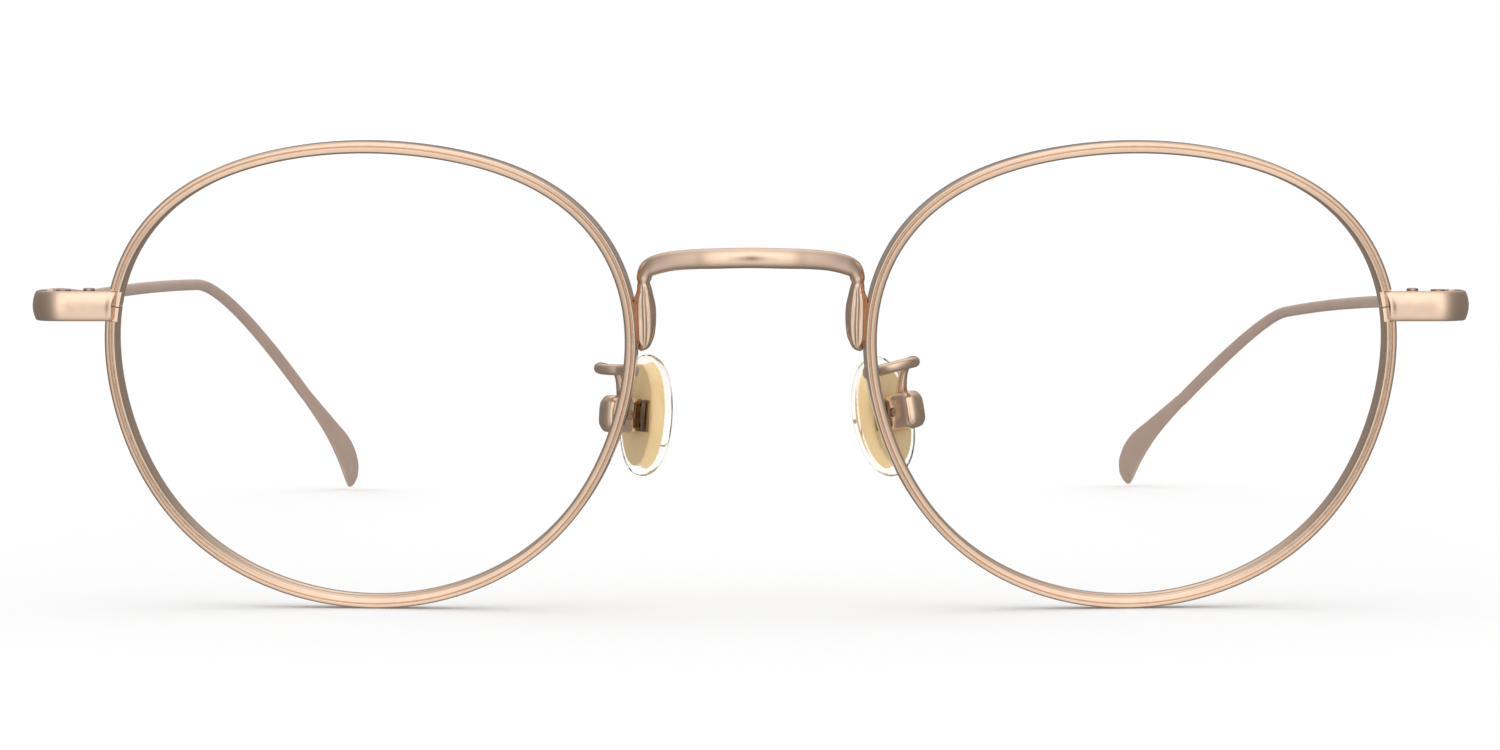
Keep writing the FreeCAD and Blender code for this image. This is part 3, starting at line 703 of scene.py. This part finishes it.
def clear_of_knuckle(point):
    """Moves a point of the temple's front end out of the room that the hinge knuckles need."""
    away = Vector((point.x - HINGE.x, point.y - HINGE.y, 0))
    room = KNUCKLE_RADIUS + KNUCKLE_ROOM
    if away.length >= room:
        return point
    away = away.normalized() * room
    return Vector((HINGE.x + away.x, max(HINGE.y + away.y, point.y), point.z))


# ---------------------------------------------------------------- bridge
def bell(value, middle, width):
    """Smooth peak of height 1."""
    return math.exp(-((value - middle) / width) ** 2)


def ridged(ring, centre, side, row):
    """Presses three grooves into the front of the foot, and a crease round its neck."""
    height = row[2]
    strength = ease((GROOVES_FADE_TOP[0] - height) / GROOVES_FADE_TOP[1])
    strength *= ease((height - GROOVES_FADE_BOTTOM[0]) / GROOVES_FADE_BOTTOM[1])
    fall = min(max((FOOT_TOP - height) / FOOT_LENGTH, 0.0), 1.0)
    # Each groove: place across, width, depth. The first two wander down the foot.
    grooves = ((0.3 - 0.16 * fall, 0.17, 0.13), (-0.14 - 0.22 * fall, 0.15, 0.12), (0.68, 0.12, 0.07))
    above_neck = height - NECK_Z
    pinch = NECK_CREASE[0] * bell(above_neck, *NECK_CREASE[1:])
    pinch -= SHOULDER_SWELL[0] * bell(above_neck, *SHOULDER_SWELL[1:])
    result = []
    for point in ring:
        away = point - centre
        across = away.dot(side) / row[3]
        facing = ease(-away.y / row[4] * 1.5)
        press = sum(depth * bell(across, place, width) for place, width, depth in grooves)
        moved_point = centre + away * (1 - pinch)
        result.append(moved_point + Vector((0, press * strength * facing, 0)))
    return result


def bridge_parts():
    """The bar, its shoulders and the leaf-shaped foot on each rim, in one sweep."""
    half = list(BRIDGE)
    other = [(-x, y, z, a, d) for x, y, z, a, d in half[:-1]]
    rows = through(half + other[::-1], 9)
    rings = []
    points = [Vector(row[:3]) for row in rows]
    for index, row in enumerate(rows):
        along = points[min(index + 1, len(points) - 1)] - points[max(index - 1, 0)]
        along.normalize()
        side = Vector((0, 1, 0)).cross(along).normalized()
        ring = oval(points[index], side, along.cross(side), row[3], row[4], 72)
        rings.append(ridged(ring, points[index], side, row))
    return [skin(with_round_ends(rings, 0.12))]


# ---------------------------------------------------------------- nose pads
def pad_matrix(adjust):
    """From the pad's own frame to the drawing frame: X along the screw, Y at the nose, Z up."""
    turn = Matrix.Rotation(math.radians(90 - adjust["pad_splay"]), 4, "Z")
    lean = Matrix.Rotation(math.radians(-adjust["pad_tilt"]), 4, "X")
    return Matrix.Translation(adjust["pad_screw"]) @ turn @ lean


def stack(rows, count=56, power=2.0):
    """Closed form through ovals (Y, half width, half height) in the pad's frame."""
    across = Vector((1, 0, 0))
    upright = Vector((0, 0, 1))
    return [oval(Vector((0, y, 0)), across, upright, w, h, count, power) for y, w, h in rows]


def pad_arm_rings(adjust):
    """Rings along the bent wire, flared where it is soldered to the rim and widened into the box."""
    start_x, start_z = adjust["arm_start"]
    loop_x, loop_z = adjust["arm_loop"]
    leg_x, leg_z = adjust["arm_leg"]
    screw = Vector(adjust["pad_screw"])
    top = pad_matrix(adjust) @ Vector((0, *ARM_END))
    # Out of the rim's back, round the loop, and down the leg into the box.
    route = rounded_route((
        (start_x, -0.15, start_z), (start_x + 0.45, 1.35, start_z), (loop_x - 1.2, 1.9, loop_z - 0.1),
        (loop_x - 0.35, 3.2, loop_z), (loop_x - 1.1, 4.6, loop_z - 0.1),
        (leg_x, screw.y - 0.75, leg_z), tuple(top),
    ), 9)
    rings = []
    side = Vector((0, 0, 1))
    last = len(route) - 1
    for index, point in enumerate(route):
        along = (route[min(index + 1, last)] - route[max(index - 1, 0)]).normalized()
        side = (side - along * side.dot(along)).normalized()
        travelled = index / last
        flare = 1 - ease(travelled / 0.09)
        leg = ease((travelled - 0.6) / 0.15)
        foot = ease((travelled - 0.86) / 0.14)
        radius = ARM_RADIUS + ARM_SOLDER_FLARE * flare - ARM_LEG_THINNER * leg + ARM_FOOT_WIDER * foot
        rings.append(oval(point, side, along.cross(side), radius, radius, 28))
    return rings


def prism(low, high):
    """Plain box used only to cut with."""
    corners = [Vector(corner) for corner in itertools.product(*zip(low, high))]
    return corners, [(0, 1, 3, 2), (4, 6, 7, 5), (0, 4, 5, 1), (2, 3, 7, 6), (0, 2, 6, 4), (1, 5, 7, 3)]


def turned(profile, count=32):
    """Closed round form about the X axis, through (place along X, radius) rows."""
    ring_axes = (Vector((0, 1, 0)), Vector((0, 0, 1)))
    return skin([oval(Vector((x, 0, 0)), *ring_axes, radius, radius, count) for x, radius in profile])


def rod(start, stop, radius, count=32):
    """Plain cylinder along X used only to cut with."""
    return turned(((start, radius), (stop, radius)), count)


def pad_box(side, adjust):
    """Rounded box with its socket and screw bore cut out."""
    matrix = pad_matrix(adjust)
    mirrored = side == "right"
    block = moved(rounded_block(BOX_HALF, BOX_ROUNDING), matrix @ Matrix.Translation((0, BOX_OFFSET, 0)))
    thing = mesh_object(side + "_pad_box_piece", [block], mirrored)
    wide, tall = SOCKET_HALF
    socket = prism((-wide, -SOCKET_DEPTH, -tall), (wide, CUT_FAR, tall))
    sink = rod(-CUT_FAR, -BOX_HALF[0] + SCREW_SINK, PAD_SCREW_RADIUS + 0.1)
    far_sink = rod(BOX_HALF[0] - 0.1, CUT_FAR, PAD_SCREW_RADIUS + 0.03)
    bore = rod(-CUT_FAR, CUT_FAR, PAD_SCREW_RADIUS)
    cutters = []
    for index, shape in enumerate((socket, sink, far_sink, bore)):
        cutters.append(mesh_object("cutter_%d" % index, [moved(shape, matrix)], mirrored))
    carve(thing, cutters)
    edge = thing.modifiers.new("edge", "BEVEL")
    edge.width = BOX_EDGE * MM
    edge.segments = 2
    edge.limit_method = "ANGLE"
    edge.angle_limit = math.radians(50)
    return thing


def pad_screw_parts():
    """Screw with a hollowed head and a plain shank, along X in the pad's frame."""
    head = ((-1.02, 0.02), (-1.08, 0.16), (-1.06, 0.3), (-1.0, 0.4), (-0.93, 0.42))
    shank = ((-0.91, 0.35), (1.12, PAD_SCREW_RADIUS), (1.18, 0.3), (1.2, 0.02))
    return turned(head + shank)


def fluted_band():
    """Raised band across the plate, with upright flutes in its face."""
    wide, high = BAND_HALF
    edge = 0.1
    chamfer = 0.06
    steps = 8
    pitch = 2 * (wide - BAND_MARGIN) / BAND_FLUTES
    outline = [(-wide, PLATE_START + edge), (-wide, BAND_START + edge), (-wide + edge, BAND_START)]
    for flute in range(BAND_FLUTES):
        left = -wide + BAND_MARGIN + pitch * flute
        for step in range(1, steps):
            hollow = FLUTE_DEPTH * math.sin(math.pi * step / steps)
            outline.append((left + pitch * step / steps, BAND_START + hollow))
        outline.append((left + pitch, BAND_START))
    outline += [(wide, BAND_START + edge), (wide, PLATE_START + edge)]
    rings = []
    for height, inset in ((-high, chamfer), (-high + chamfer, 0.0), (high - chamfer, 0.0), (high, chamfer)):
        rings.append([Vector((x * (1 - inset / wide), y + inset * 0.5, height)) for x, y in outline])
    return skin(rings)


def pad_insert_parts():
    """Oval plate with its turned-in edge, a fluted band across it, and the tongue."""
    near = PLATE_START
    far = PLATE_START + PLATE_THICKNESS
    deep = far + SKIRT_DEPTH
    wide, high = PLATE_HALF
    lip = 0.08
    outside = ((near, 0.12), (near + 0.02, 0.04), (near + 0.09, 0.0), (deep - lip, 0.0), (deep, lip))
    wall = SKIRT_WALL
    inside = ((deep, wall - lip), (deep - lip, wall), (far + lip, wall), (far, wall + 0.1))
    dish = [(y, wide - inset, high - inset) for y, inset in outside + inside]
    plate = skin(stack(dish, 72))
    tongue_half = (BAND_START + TONGUE_BACK) / 2 + 0.05
    tongue = moved(rounded_block((TONGUE_HALF[0], tongue_half, TONGUE_HALF[1]), (0.3, 0.2)),
                   Matrix.Translation((0, tongue_half - TONGUE_BACK, 0)))
    return [plate, fluted_band(), tongue]


# ---------------------------------------------------------------- putting the pieces together
def build_side(side):
    """Every drawn piece of one side."""
    adjust = ADJUST[side]
    mirrored = side == "right"
    matrix = pad_matrix(adjust)
    temple_body = side + "_temple"
    pad = side + "_pad"
    arm = skin(with_round_ends(pad_arm_rings(adjust), 0.05))
    insert = [moved(part, matrix) for part in pad_insert_parts()]
    rows = (
        ("rim", [skin(rim_rings())], "front", "frame_metal", FRAME_METAL, 32),
        ("endpiece", [skin(end_rings())], "front", "frame_metal", FRAME_METAL, 32),
        ("temple", [skin(temple_rings(adjust))], temple_body, "temple_metal", TEMPLE_METAL, 50),
        ("pad_arm", [arm], "front", "frame_metal", FRAME_METAL, 40),
        ("pad_screw", [moved(pad_screw_parts(), matrix)], "front", "screw_steel", SCREW_METAL, 40),
        ("pad_insert", insert, pad, "insert_gold", INSERT_METAL, 40),
        ("pad_body", [moved(skin(stack(through(PAD_BODY, 4))), matrix)], pad, "pad_clear", CLEAR_POLYMER, 45),
    )
    for name, parts, body, slot, material, degrees in rows:
        # The insert's band takes the second material: painted shade and a painted dark reflection.
        banded = name == "pad_insert"
        thing = mesh_object(side + "_" + name + "_piece", parts, mirrored, 1 if banded else None)
        finish_piece(thing, side + "_" + name, body, material, degrees, BAND_SHADE_METAL if banded else None)
    finish_piece(pad_box(side, adjust), side + "_pad_box", "front", FRAME_METAL, 30)


def dress_cad_nodes():
    """Materials for the CAD nodes that stay in view."""
    finishes = {"closing_block": BLOCK_METAL, "hinge_leaf": BLOCK_METAL, "screw": SCREW_METAL}
    for name, thing in frame["nodes"].items():
        for ending, material in finishes.items():
            if not name.endswith(ending):
                continue
            for index in range(max(len(thing.material_slots), 1)):
                if not thing.material_slots:
                    thing.data.materials.append(material)
                thing.material_slots[index].material = material


build_side("left")
build_side("right")
bridge = mesh_object("bridge_piece", bridge_parts(), False)
finish_piece(bridge, "bridge", "front", FRAME_METAL, 45)
dress_cad_nodes()


# ---------------------------------------------------------------- stage, light and camera
FLOOR_HALF = 3.0               # metres
CAMERA_AWAY = 423.0            # from the front plane
CAMERA_HEIGHT = 45.6
CAMERA_ASIDE = -0.07
CAMERA_PITCH = math.radians(3.233)
CAMERA_LENS = 109.6
SENSOR = 36.0
LIGHT_RISE = math.radians(15)  # the front light's middle, above the horizon
LIGHT_WIDTH = 0.55
LIGHT_WRAP = 0.6               # how far the front light reaches past the sides
LIGHT_FALL = 1.6               # power with which it fades from its middle
FRONT_GLOW = 1.95
BACK_RISE = math.radians(55)
BACK_FALL = 6.0
BACK_GLOW = 0.9
ROOM_GLOW = 0.31
ROOM_GAP = 0.5                 # share of the dark gap that shows in the room's own glow
WHITE_GLOW = 1.1
FLOOR_WHITE = 0.93
GAP_HALF = (0.13, 0.5)         # dark gap between the front lights: half width, half height
GAP_HEIGHT = -0.08


def make_floor():
    """Plain pale floor."""
    corners = [(FLOOR_HALF * x, FLOOR_HALF * y, 0) for x, y in ((-1, -1), (1, -1), (1, 1), (-1, 1))]
    mesh = bpy.data.meshes.new("floor")
    mesh.from_pydata(corners, [], [(0, 1, 2, 3)])
    floor = bpy.data.objects.new("floor", mesh)
    bpy.context.scene.collection.objects.link(floor)
    material = bpy.data.materials.new("floor_white")
    material.use_nodes = True
    shader = material.node_tree.nodes["Principled BSDF"]
    shader.inputs["Base Color"].default_value = (FLOOR_WHITE, FLOOR_WHITE, FLOOR_WHITE, 1)
    shader.inputs["Roughness"].default_value = 0.9
    shader.inputs["Specular IOR Level"].default_value = 0.1
    mesh.materials.append(material)
    floor.visible_glossy = False


def maths(tree, operation, first, second):
    """Maths node on two values or outputs."""
    node = tree.nodes.new("ShaderNodeMath")
    node.operation = operation
    for socket, value in zip(node.inputs, (first, second)):
        if isinstance(value, (int, float)):
            socket.default_value = value
        else:
            tree.links.new(value, socket)
    return node.outputs[0]


def make_world():
    """White room. Gloss sees a tall soft light in front of the object, and darker sides and back."""
    world = bpy.data.worlds.new("studio")
    bpy.context.scene.world = world
    world.use_nodes = True
    tree = world.node_tree
    white = tree.nodes["Background"]
    white.inputs["Color"].default_value = (1, 1, 1, 1)
    white.inputs["Strength"].default_value = WHITE_GLOW
    place = tree.nodes.new("ShaderNodeTexCoord")
    split = tree.nodes.new("ShaderNodeSeparateXYZ")
    tree.links.new(place.outputs["Generated"], split.inputs[0])
    x, y, z = split.outputs
    ahead = maths(tree, "ADD", maths(tree, "MULTIPLY", y, -math.cos(LIGHT_RISE)),
                  maths(tree, "MULTIPLY", z, math.sin(LIGHT_RISE)))
    tall = maths(tree, "DIVIDE", maths(tree, "ADD", ahead, LIGHT_WRAP), 1 + LIGHT_WRAP)
    tall = maths(tree, "POWER", maths(tree, "MAXIMUM", tall, 0.0), LIGHT_FALL)
    aside = maths(tree, "DIVIDE", x, LIGHT_WIDTH)
    aside = maths(tree, "MULTIPLY", maths(tree, "MULTIPLY", aside, aside), -1.0)
    narrow = maths(tree, "POWER", math.e, aside)
    front = maths(tree, "MULTIPLY", maths(tree, "MULTIPLY", tall, narrow), FRONT_GLOW)
    across = maths(tree, "POWER", maths(tree, "ABSOLUTE", maths(tree, "DIVIDE", x, GAP_HALF[0]), 0.0), 2.0)
    rise = maths(tree, "DIVIDE", maths(tree, "SUBTRACT", z, GAP_HEIGHT), GAP_HALF[1])
    rise = maths(tree, "POWER", maths(tree, "ABSOLUTE", rise, 0.0), 2.0)
    gap = maths(tree, "POWER", math.e, maths(tree, "MULTIPLY", maths(tree, "ADD", across, rise), -1.0))
    front = maths(tree, "MULTIPLY", front, maths(tree, "SUBTRACT", 1.0, gap))
    behind = maths(tree, "ADD", maths(tree, "MULTIPLY", y, math.cos(BACK_RISE)),
                   maths(tree, "MULTIPLY", z, math.sin(BACK_RISE)))
    behind = maths(tree, "POWER", maths(tree, "MAXIMUM", behind, 0.0), BACK_FALL)
    glow = maths(tree, "ADD", front, maths(tree, "MULTIPLY", behind, BACK_GLOW))
    studio = tree.nodes.new("ShaderNodeBackground")
    room = maths(tree, "SUBTRACT", 1.0, maths(tree, "MULTIPLY", gap, ROOM_GAP))
    room = maths(tree, "MULTIPLY", room, ROOM_GLOW)
    tree.links.new(maths(tree, "ADD", glow, room), studio.inputs["Strength"])
    path = tree.nodes.new("ShaderNodeLightPath")
    choose = tree.nodes.new("ShaderNodeMixShader")
    through_clear = maths(tree, "SUBTRACT", 1.0, path.outputs["Is Transmission Ray"])
    tree.links.new(maths(tree, "MULTIPLY", path.outputs["Is Glossy Ray"], through_clear), choose.inputs[0])
    tree.links.new(white.outputs[0], choose.inputs[1])
    tree.links.new(studio.outputs[0], choose.inputs[2])
    tree.links.new(choose.outputs[0], tree.nodes["World Output"].inputs["Surface"])


def make_camera():
    """Camera level with the rims' tops, looking slightly down."""
    data = bpy.data.cameras.new("camera")
    data.lens = CAMERA_LENS
    data.sensor_width = SENSOR
    camera = bpy.data.objects.new("camera", data)
    camera.location = at((CAMERA_ASIDE, -CAMERA_AWAY, CAMERA_HEIGHT))
    camera.rotation_euler = (math.radians(90) - CAMERA_PITCH, 0, 0)
    bpy.context.scene.collection.objects.link(camera)
    bpy.context.scene.camera = camera


make_floor()
make_world()
make_camera()
bpy.context.scene.view_settings.view_transform = "Standard"
